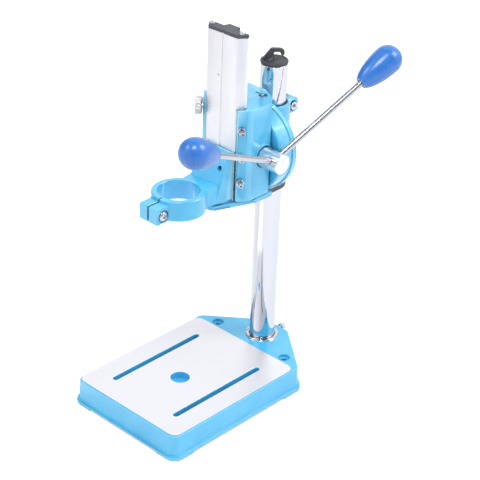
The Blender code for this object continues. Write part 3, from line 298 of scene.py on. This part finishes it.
# Name, colour, paler colour, roughness from and to, grain in millimetres, how strong the grain is, and how
# glossy the skin is. The grain is drawn coarser than a real one, so that it shows.
mouldings = {
    # black and cap are one black nylon in two tones: black is drawn lighter as painted light, for the slide
    # cap's brightly lit top, and cap darker as painted shade, for the column cap
    "black": ("glassFilledNylon", "46474F", "54555E", (0.38, 0.52), 0.35, 0.25, 0.0),
    "knob": ("mouldedPolypropylene", "266EC4", "3480D6", (0.26, 0.34), 0.9, 0.08, 0.6),
    "cap": ("carbonFilledNylon", "3B3C43", "494A51", (0.38, 0.52), 0.35, 0.25, 0.0),
}
mouldedRelief = {
    "cloud": 14.0,  # millimetres from one cloud of the paler colour to the next
    "cloudShare": 0.5,
    "edgeBend": (0.54, 0.62),  # pointiness at which the paler edge starts, and is full
    "height": 0.0002,
    "skinRoughness": 0.28,
    "IOR": 1.49,
}


def mouldedPlastic(name, code, paler, roughness, grain, strength, skin):
    # Injection moulded plastic: satin, a fine spark-eroded grain, and paler over sharp edges
    material, tree, shader = newMaterial(name)
    spot = addNode(tree, "TexCoord").outputs["Object"]
    cloud = addNode(tree, "TexNoise", {"Vector": spot, "Scale": 1000 / mouldedRelief["cloud"]})
    share = addNode(tree, "MapRange", {"Value": cloud, **noiseRange, "To Max": mouldedRelief["cloudShare"]})
    body = addNode(tree, "Mix", {"Factor": share, "A": hexColour(code), "B": hexColour(paler)},
                   data_type="RGBA")
    start, full = mouldedRelief["edgeBend"]
    bend = addNode(tree, "NewGeometry").outputs["Pointiness"]
    onEdge = addNode(tree, "MapRange", {"Value": bend, "From Min": start, "From Max": full})
    colour = addNode(tree, "Mix", {"Factor": onEdge, "A": body, "B": hexColour(paler)}, data_type="RGBA")
    low, high = roughness
    satin = addNode(tree, "MapRange", {"Value": cloud, **noiseRange, "To Min": low, "To Max": high})
    fine = addNode(tree, "TexNoise", {"Vector": spot, "Scale": 1000 / grain})
    bump = addNode(tree, "Bump", {"Height": fine, "Strength": strength, "Distance": mouldedRelief["height"]})
    connect(tree, shader, {"Base Color": colour, "Roughness": satin, "Normal": bump,
                           "IOR": mouldedRelief["IOR"], "Coat Weight": skin,
                           "Coat Roughness": mouldedRelief["skinRoughness"]})
    return material


finishes = {
    "paint": powderCoatedZinc(enamel),
    "aluminium": anodisedAluminium(anodised),
    "table": groundZinc(ground),
}
for finish, values in plated.items():
    finishes[finish] = platedMetal(*values)
for finish, values in mouldings.items():
    finishes[finish] = mouldedPlastic(*values)
print("materials made:", len(finishes))


# Pieces

bodies = frame["record"]["behaviour"]["bodies"]
bodyOf = {node: body for body, members in bodies.items() for node in members}
slotOf = {part["node"]: part["material_slot"] for part in frame["record"]["subparts"]}
# Nodes that look a little different from the rest of their slot
ownFinish = {
    "crank_hub": "satinChrome",
    "crank_rod_front": "rodChrome",
    "crank_rod_rear": "rodChrome",
    # The set screw is black oxide, and its darkness also stands in for the shade inside its hole: partly
    # painted shade
    "hub_set_screw": "blackOxide",
    "column_cap": "cap",
    "gib_strip": "zinc",
    "return_spring": "zinc",
}


def finishPiece(mesh, name, node, more=()):
    piece = bpy.data.objects.new(name, mesh)
    scene.collection.objects.link(piece)
    slotName = slotOf[node]
    for material in (finishes[ownFinish.get(node, slotName)], *more):
        mesh.materials.append(material)
    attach(piece, bodyOf[node])
    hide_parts(node)
    return piece


rounding = {
    "weld": 1e-6,  # corners that are closer are one corner
    "tiny": 1e-7,  # an edge that is shorter has no direction
    "flat": math.radians(0.6),  # faces that meet at less are one flat face
    "sharp": math.radians(28),  # facets of a curve meet at less
    "narrow": math.radians(25),  # no room beside a neighbour edge that leaves at less
    "onward": math.radians(150),  # a neighbour edge that leaves at more carries the edge on
    "spare": 1.5,  # bevel widths that any other neighbour edge has to be long
    "flatWeight": 90,  # how far large faces outweigh small ones in the shading
}


def smoothFaces(shape):
    for face in shape.faces:
        face.smooth = True


def mergedCopy(node):
    # A CAD node's mesh is loose triangles, so the copy is welded and its flat faces are joined
    shape = bmesh.new()
    shape.from_mesh(nodes[node].data)
    bmesh.ops.remove_doubles(shape, verts=shape.verts, dist=rounding["weld"])
    bmesh.ops.dissolve_limit(shape, angle_limit=rounding["flat"], verts=shape.verts, edges=shape.edges)
    smoothFaces(shape)
    return shape


def hasRoom(edge, corner, width):
    along = edge.other_vert(corner).co - corner.co
    for near in corner.link_edges:
        reach = near.other_vert(corner).co - corner.co
        if near is edge or reach.length < rounding["tiny"]:
            continue
        turn = along.angle(reach, 0)
        if turn < rounding["narrow"]:
            return False
        if turn < rounding["onward"] and reach.length < rounding["spare"] * width:
            return False
    return True


def markEdges(shape, width):
    # Edges with room are rounded; sharp ones without it stay sharp, so flat faces still shade flat
    share = shape.edges.layers.float.new("bevel_weight_edge")
    for edge in shape.edges:
        if not edge.is_manifold or edge.calc_face_angle(0) < rounding["sharp"]:
            continue
        if edge.calc_length() > width and all(hasRoom(edge, corner, width) for corner in edge.verts):
            edge[share] = 1.0
        else:
            edge.smooth = False


def meshFrom(shape, name):
    mesh = bpy.data.meshes.new(name)
    shape.to_mesh(mesh)
    shape.free()
    return mesh


def roundEdges(piece, width, segments=3):
    bevel = piece.modifiers.new("roundEdges", "BEVEL")
    bevel.width = width
    bevel.segments = segments
    bevel.limit_method = "WEIGHT"
    bevel.use_clamp_overlap = False
    bevel.miter_outer = "MITER_ARC"
    weights = piece.modifiers.new("flatFacesStayFlat", "WEIGHTED_NORMAL")
    weights.mode = "FACE_AREA"
    weights.weight = rounding["flatWeight"]
    weights.keep_sharp = True


# The base is bare metal on its table face and on the ring at the column's foot
bareFaces = {
    "node": "base_casting",
    "tableHeight": 0.0286,  # above the bench
    "tolerance": 0.0002,
    "level": 0.9,  # a face whose normal's Z is larger looks up
    "ringHeight": 0.0284,  # the ring's faces lie above this
    "ringRadius": 0.0185,  # and inside this
}


def bareMetal(shape, values):
    # The paint is material 0, the table's face 1 and the ring 2
    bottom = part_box(values["node"])[0].z
    for face in shape.faces:
        middle = face.calc_center_bounds()
        height = middle.z - bottom
        if height > values["ringHeight"] and middle.xy.length < values["ringRadius"]:
            face.material_index = 2
        elif abs(height - values["tableHeight"]) < values["tolerance"] and face.normal.z > values["level"]:
            face.material_index = 1
    return [finishes["table"], finishes["chrome"]]


# The two halves of the swivel are pressed together, so most of the solids' gap is closed
seam = {
    "nodes": ("bracket_casting", "clamp_casting"),
    "plane": -0.0190,  # Y where they meet
    "reach": 0.0002,
    "closing": 0.8,  # share of the gap that is closed
}


def atSeam(vert):
    return abs(vert.co.y - seam["plane"]) < seam["reach"]


def closeSeam(shape):
    for vert in shape.verts:
        if atSeam(vert):
            vert.co.y += (seam["plane"] - vert.co.y) * seam["closing"]


def keepSeamSharp(shape):
    share = shape.edges.layers.float["bevel_weight_edge"]
    for edge in shape.edges:
        if edge[share] and all(atSeam(vert) for vert in edge.verts):
            edge[share] = 0.0
            edge.smooth = False


# The bracket's top is closed behind and beside the slide
lids = {
    "feedChannel": {"low": (-0.0135, -0.0562, 0.3262), "high": (0.0135, -0.0361, 0.32958)},
    "gibSlot": {"low": (0.02612, -0.0690, 0.3268), "high": (0.0302, -0.0642, 0.32958)},
}


def addLid(shape, values):
    low, high = Vector(values["low"]), Vector(values["high"])
    corners = bmesh.ops.create_cube(shape, size=1)["verts"]
    bmesh.ops.scale(shape, verts=corners, vec=high - low)
    bmesh.ops.translate(shape, verts=corners, vec=(low + high) / 2)
    smoothFaces(shape)


def dressNode(node, name, width):
    shape = mergedCopy(node)
    bare = []
    if node in seam["nodes"]:
        closeSeam(shape)
    if node == "bracket_casting":
        for values in lids.values():
            addLid(shape, values)
    if node == bareFaces["node"]:
        bare = bareMetal(shape, bareFaces)
    markEdges(shape, width)
    if node in seam["nodes"]:
        keepSeamSharp(shape)
    piece = finishPiece(meshFrom(shape, name), name, node, bare)
    roundEdges(piece, width)


# Node -> its piece's name, and how wide its edges are rounded
castings = {
    "base_casting": ("castBase", 0.0007),
    "clamp_casting": ("castClamp", 0.0008),
    "bracket_casting": ("castBracket", 0.0008),
    "drill_holder": ("castDrillHolder", 0.0004),
}
softened = {
    "column_cap": ("mouldedCap", 0.0006),
    "column_tube": ("chromedTube", 0.0004),
    "column_liner": ("mouldedLiner", 0.0004),
    "slide_cap": ("mouldedSlideCap", 0.0004),
    "slide_rail": ("extrudedRail", 0.0002),
    "crank_hub": ("turnedHub", 0.0003),
    "crank_rod_front": ("frontRod", 0.0003),
    "crank_rod_rear": ("rearRod", 0.0003),
    "gib_strip": ("groundGib", 0.0001),
    "spring_pin": ("springPin", 0.0002),
}


def plainName(node):
    return node.replace("_", "") + "Piece"


for node in ("clamp_bolt", "clamp_nut", "collar_nut", "column_set_bolt"):
    softened[node] = (plainName(node), 0.0003)
for number in "123":
    softened["gib_screw_" + number] = ("gibScrew" + number, 0.0002)
    softened["gib_locknut_" + number] = ("gibLocknut" + number, 0.0003)
for number in "12":
    softened["swivel_bolt_" + number] = ("swivelBolt" + number, 0.0004)
    softened["swivel_washer_" + number] = ("swivelWasher" + number, 0.0002)

for node, values in castings.items():
    dressNode(node, *values)
print("castings dressed")
for node, values in softened.items():
    dressNode(node, *values)
print("turned and moulded pieces dressed:", len(softened))


# Pieces turned round an axis of their own

def spinProfile(points, steps):
    # points: distance from the axis, and height along it
    shape = bmesh.new()
    line = [shape.verts.new((reach, 0, along)) for reach, along in points]
    edges = [shape.edges.new(pair) for pair in zip(line, line[1:])]
    bmesh.ops.spin(shape, geom=line + edges, cent=(0, 0, 0), axis=(0, 0, 1), angle=2 * math.pi,
                   steps=steps, use_merge=True)
    bmesh.ops.remove_doubles(shape, verts=shape.verts, dist=rounding["weld"])
    bmesh.ops.recalc_face_normals(shape, faces=shape.faces)
    smoothFaces(shape)
    return shape


def standing(origin, direction):
    # Takes what was made along Z from 0 to its place
    turn = Vector(direction).to_track_quat("Z", "Y").to_matrix().to_4x4()
    return Matrix.Translation(origin) @ turn


crank = {
    "cross": (0.048, -0.0483, 0.2743),  # where the two rods' lines meet
    "lean": 10.5,  # degrees outward
    "rods": {"front": 155.3, "rear": 30.8},  # degrees round the shaft
}
knobs = {
    "start": 0.1212,  # along the rod
    "widest": 0.1587,
    "radius": 0.01524,
    "endRadius": 0.0066,
    "bore": 0.0037,
    "boreDepth": 0.020,
    "seam": 0.0003,  # half the parting line's width
    "seamDepth": 0.00021,
    "lip": 0.0012,
    "lipSteps": 4,
    "steps": 20,
    "facets": 96,
}


def rodDirection(name):
    outward = math.radians(crank["lean"])
    turn = math.radians(crank["rods"][name])
    away = math.cos(outward)
    return math.sin(outward), away * math.cos(turn), away * math.sin(turn)


def knobProfile(values):
    # A long egg that is moulded in two halves, with the parting line at its widest ring
    start, widest, radius = values["start"], values["widest"], values["radius"]
    steps, seam, bore = values["steps"], values["seam"], values["bore"]
    reach = (widest - start) / math.sqrt(1 - (values["endRadius"] / radius) ** 2)
    depth = start + values["boreDepth"]
    points = [(0, depth), (bore, depth), (bore, start)]
    for step in range(steps):
        along = start + (widest - start) * math.sin(math.pi / 2 * step / steps)
        points.append((radius * math.sqrt(1 - ((widest - along) / reach) ** 2), along))
    points += [(radius, widest - seam), (radius - values["seamDepth"], widest), (radius, widest + seam)]
    for step in range(1, steps):
        turn = math.pi / 2 * step / steps
        points.append((radius * math.cos(turn), widest + radius * math.sin(turn)))
    return points + [(0, widest + radius)]


for name in crank["rods"]:
    shape = spinProfile(knobProfile(knobs), knobs["facets"])
    place = standing(crank["cross"], rodDirection(name))
    bmesh.ops.transform(shape, verts=shape.verts, matrix=place)
    markEdges(shape, knobs["lip"])
    knob = finishPiece(meshFrom(shape, name + "Knob"), name + "Knob", "knob_" + name)
    roundEdges(knob, knobs["lip"], knobs["lipSteps"])
print("knobs moulded")


lockKnob = {
    "flank": (-0.0227, -0.0729, 0.3181),
    "axis": (-0.782843, -0.62222, 0),
    "standOff": 0.0050,
    "thickness": 0.0064,
    "radius": 0.0092,
    "flutes": 18,
    "fluteDepth": 0.0009,
    "fluteSteps": 8,
    "rim": 0.0018,
    "dish": 0.0004,
    "round": 0.0005,
    "roundSteps": 3,
    "roundFrom": math.radians(50),
}


def makeLockKnob(values):
    shape = bmesh.new()
    corners = values["flutes"] * values["fluteSteps"]
    bmesh.ops.create_circle(shape, cap_ends=True, radius=values["radius"], segments=corners)
    for vert in shape.verts:
        wave = 0.5 - 0.5 * math.cos(math.atan2(vert.co.y, vert.co.x) * values["flutes"])
        vert.co *= 1 - values["fluteDepth"] / values["radius"] * wave ** 2
    made = bmesh.ops.extrude_face_region(shape, geom=list(shape.faces))["geom"]
    raised = [item for item in made if isinstance(item, bmesh.types.BMVert)]
    bmesh.ops.translate(shape, verts=raised, vec=(0, 0, values["thickness"]))
    lid = [item for item in made if isinstance(item, bmesh.types.BMFace)]
    bmesh.ops.recalc_face_normals(shape, faces=shape.faces)
    bmesh.ops.inset_region(shape, faces=lid, thickness=values["rim"], depth=-values["dish"])
    bmesh.ops.translate(shape, verts=shape.verts, vec=(0, 0, values["standOff"]))
    bmesh.ops.transform(shape, verts=shape.verts, matrix=standing(values["flank"], values["axis"]))
    smoothFaces(shape)
    for edge in shape.edges:
        edge.smooth = edge.calc_face_angle(0) < rounding["sharp"]
    piece = finishPiece(meshFrom(shape, "knurledKnob"), "knurledKnob", "lock_knob")
    bevel = piece.modifiers.new("roundRims", "BEVEL")
    bevel.width = values["round"]
    bevel.segments = values["roundSteps"]
    bevel.angle_limit = values["roundFrom"]


makeLockKnob(lockKnob)


# Pan head screws with a cross recess
panHeads = {
    "collar_bolt": {"spot": (0.0103, -0.1650, 0.2398), "axis": (1, 0, 0),
                    "radius": 0.0052, "height": 0.0034, "shank": 0.0028, "length": 0.0248},
}
for number, side in (("1", -1), ("2", 1)):
    panHeads["cap_screw_" + number] = {"spot": (side * 0.0198, -0.0708, 0.4066), "axis": (0, 0, 1),
                                       "radius": 0.0028, "height": 0.0011, "shank": 0.0014, "length": 0.0080}
headForm = {
    "rim": 0.3,  # share of the height below the crown
    "crownSteps": 9,
    "facets": 40,
    "sharp": math.radians(50),
}
recessForm = {
    "arms": ((0.15, 0.58), (0.58, 0.15)),  # half widths along X and Y, as shares of the head's radius
    "taper": 0.6,  # an arm's size at its bottom, as a share of its size at the top
    "bottom": 0.35,  # shares of the head's height
    "top": 1.2,
}


def headProfile(radius, height, shank, length):
    rim, steps = headForm["rim"], headForm["crownSteps"]
    points = [(0, -length), (shank, -length), (shank, 0), (radius, 0), (radius, height * rim)]
    for step in range(1, steps):
        turn = math.pi / 2 * step / steps
        points.append((radius * math.cos(turn), height * (rim + (1 - rim) * math.sin(turn))))
    return points + [(0, height)]


def crossShape(radius, height):
    cross = bmesh.new()
    for wide, deep in recessForm["arms"]:
        for vert in bmesh.ops.create_cube(cross, size=2)["verts"]:
            upper = vert.co.z > 0
            size = radius if upper else radius * recessForm["taper"]
            vert.co.x *= wide * size
            vert.co.y *= deep * size
            vert.co.z = height * (recessForm["top"] if upper else recessForm["bottom"])
    return cross


def objectFrom(shape, name):
    item = bpy.data.objects.new(name, meshFrom(shape, name))
    scene.collection.objects.link(item)
    return item


def makePanHead(node, values):
    radius, height = values["radius"], values["height"]
    profile = headProfile(radius, height, values["shank"], values["length"])
    shape = spinProfile(profile, headForm["facets"])
    for edge in shape.edges:
        edge.smooth = edge.calc_face_angle(0) < headForm["sharp"]
    screw = objectFrom(shape, "screw")
    tool = objectFrom(crossShape(radius, height), "cross")
    recess = screw.modifiers.new("recess", "BOOLEAN")
    recess.object = tool
    recess.operation = "DIFFERENCE"
    recess.use_self = True
    graph = bpy.context.evaluated_depsgraph_get()
    mesh = bpy.data.meshes.new_from_object(screw.evaluated_get(graph))
    bpy.data.objects.remove(tool)
    bpy.data.objects.remove(screw)
    mesh.transform(standing(values["spot"], values["axis"]))
    mesh.materials.clear()
    finishPiece(mesh, plainName(node), node)


for node, values in panHeads.items():
    makePanHead(node, values)
print("knurled knob and cross head screws made")


# The return spring hangs by its bent end on the pin across the bore
spring = {
    "axis": (0.0142, -0.0308),
    "radius": 0.0036,
    "wire": 0.00055,
    "wireSteps": 3,
    "low": 0.2291,
    "high": 0.3242,
    "curls": 16,
    "points": 20,  # in each curl
    "pin": 0.3279,
    "hook": 0.0017,
    "hookTurns": range(-60, 121, 20),  # degrees round the pin
    "tail": (0.0050, -0.0057, 0.0009),
}


def springPath(values):
    x, y = values["axis"]
    radius, hook = values["radius"], values["hook"]
    count = values["curls"] * values["points"]
    path = []
    for index in range(count + 1):
        turn = 2 * math.pi * index / values["points"]
        height = values["low"] + (values["high"] - values["low"]) * index / count
        path.append(Vector((x + radius * math.cos(turn), y + radius * math.sin(turn), height)))
    for degrees in values["hookTurns"]:
        turn = math.radians(degrees)
        path.append(Vector((x, y + hook * math.cos(turn), values["pin"] + hook * math.sin(turn))))
    path.append(Vector((x, y, values["pin"] + hook)) + Vector(values["tail"]))
    return path


def makeSpring(values):
    curve = bpy.data.curves.new("wire", "CURVE")
    curve.dimensions = "3D"
    curve.bevel_depth = values["wire"]
    curve.bevel_resolution = values["wireSteps"]
    curve.use_fill_caps = True
    path = springPath(values)
    line = curve.splines.new("POLY")
    line.points.add(len(path) - 1)
    for point, place in zip(line.points, path):
        point.co = (*place, 1.0)
    wire = bpy.data.objects.new("wire", curve)
    scene.collection.objects.link(wire)
    graph = bpy.context.evaluated_depsgraph_get()
    mesh = bpy.data.meshes.new_from_object(wire.evaluated_get(graph))
    bpy.data.objects.remove(wire)
    for polygon in mesh.polygons:
        polygon.use_smooth = True
    finishPiece(mesh, "returnSpring", "return_spring")


makeSpring(spring)
print("spring wound")


# Nodes that keep their own shape get their finish here
for node, piece in nodes.items():
    if piece.get("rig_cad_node") and node in slotOf:
        piece.data.materials.clear()
        piece.data.materials.append(finishes[ownFinish.get(node, slotOf[node])])


# Floor, backdrop and light

studio = {
    "floor": hexColour("F4F4F6"),
    "floorRoughness": 0.9,
    "floorRadius": 6.0,
    "floorFacets": 64,
    "floorGlow": 0.40,
    "floorInMirrors": 0.02,
    "world": 0.70,  # what lights the object
    "backdrop": 1.0,  # what is seen behind it, where 1 is white
}
lampAim = Vector((0, -0.08, 0.2))
lamps = {
    "keySoftbox": {"place": (-0.9, -1.3, 1.9), "power": 8.0, "size": 0.55},
    "fillSoftbox": {"place": (1.1, 0.9, 1.7), "power": 17.0, "size": 0.85},
    "topSoftbox": {"place": (0.5, -0.7, 1.9), "power": 12.0, "size": 0.45},
}
boardShade = "6E6F76"
boardAim = Vector((0, 0, 0.2))
# Boards that only mirrors see: dark ones give bright metal its bands, the glowing one, which lies on the
# floor, the column's white line. Compass is in degrees from +X towards +Y.
boards = {
    "darkRight": {"compass": -34, "distance": 2.2, "height": 1.45, "across": 3.6, "along": 2.1},
    "darkBack": {"compass": 90, "distance": 2.2, "height": 0.22, "across": 2.0, "along": 0.4,
                 "shade": "9C9DA4"},
    "darkLeft": {"compass": -165, "distance": 2.2, "height": 1.45, "across": 2.8, "along": 2.5},
    "darkCeiling": {"compass": -60, "distance": 0.3, "height": 2.4, "across": 2.0, "along": 2.0},
    "whiteLine": {"compass": -104, "distance": 0.52, "height": 0.001, "across": 0.20, "along": 0.56,
                  "glow": 1.35},
}


def makeWorld(values):
    # The camera, mirrors and clear things see the backdrop, and the object gets the weaker light
    world = bpy.data.worlds.new("studioRoom")
    scene.world = world
    world.use_nodes = True
    tree = world.node_tree
    path = addNode(tree, "LightPath").outputs
    plain = addNode(tree, "Math", {0: path["Is Camera Ray"], 1: path["Is Glossy Ray"]}, operation="MAXIMUM")
    seen = addNode(tree, "Math", {0: plain, 1: path["Is Transmission Ray"]}, operation="MAXIMUM")
    strength = addNode(tree, "MapRange", {"Value": seen, "To Min": values["world"],
                                          "To Max": values["backdrop"]})
    connect(tree, tree.nodes["Background"], {"Color": white, "Strength": strength})


def makeFloor(values):
    shape = bmesh.new()
    bmesh.ops.create_circle(shape, cap_ends=True, radius=values["floorRadius"],
                            segments=values["floorFacets"])
    bmesh.ops.translate(shape, verts=shape.verts, vec=(0, 0, bench))
    floor = objectFrom(shape, "floor")
    material, tree, shader = newMaterial("paleFloor")
    connect(tree, shader, {"Base Color": values["floor"], "Roughness": values["floorRoughness"]})
    path = addNode(tree, "LightPath").outputs
    seen = addNode(tree, "Math", {0: path["Is Camera Ray"], 1: path["Is Transmission Ray"]},
                   operation="MAXIMUM")
    strength = addNode(tree, "MapRange", {"Value": seen, "To Min": values["floorInMirrors"],
                                          "To Max": values["floorGlow"]})
    glow = addNode(tree, "Emission", {"Color": white, "Strength": strength})
    both = addNode(tree, "AddShader", {0: shader, 1: glow})
    connect(tree, tree.nodes["Material Output"], {"Surface": both})
    floor.data.materials.append(material)


def makeLamp(name, values):
    data = bpy.data.lights.new(name, "AREA")
    data.energy = values["power"]
    data.size = values["size"]
    lamp = bpy.data.objects.new(name, data)
    lamp.location = values["place"]
    aim = lampAim - Vector(values["place"])
    lamp.rotation_euler = aim.to_track_quat("-Z", "Y").to_euler()
    scene.collection.objects.link(lamp)


def makeBoard(name, values):
    turn = Matrix.Rotation(math.radians(values["compass"]), 4, "Z")
    place = turn @ Vector((values["distance"], 0, values["height"] + bench))
    if "glow" in values:
        aim = turn @ Matrix.Rotation(math.radians(90), 4, "Z")
    else:
        aim = (boardAim - place).to_track_quat("-Z", "Y").to_matrix().to_4x4()
    shape = bmesh.new()
    bmesh.ops.create_grid(shape, x_segments=1, y_segments=1, size=0.5)
    bmesh.ops.scale(shape, verts=shape.verts, vec=(values["across"], values["along"], 1))
    bmesh.ops.transform(shape, verts=shape.verts, matrix=Matrix.Translation(place) @ aim)
    board = objectFrom(shape, name)
    material, tree, shader = newMaterial("paintedBoard")
    connect(tree, shader, {"Base Color": hexColour(values.get("shade", boardShade)), "Roughness": 1.0,
                           "Emission Color": white, "Emission Strength": values.get("glow", 0)})
    board.data.materials.append(material)
    board.visible_camera = False
    board.visible_diffuse = False
    board.visible_shadow = False


makeCamera(cameraView)
makeWorld(studio)
makeFloor(studio)
for name, values in lamps.items():
    makeLamp(name, values)
for name, values in boards.items():
    makeBoard(name, values)
print("studio made")
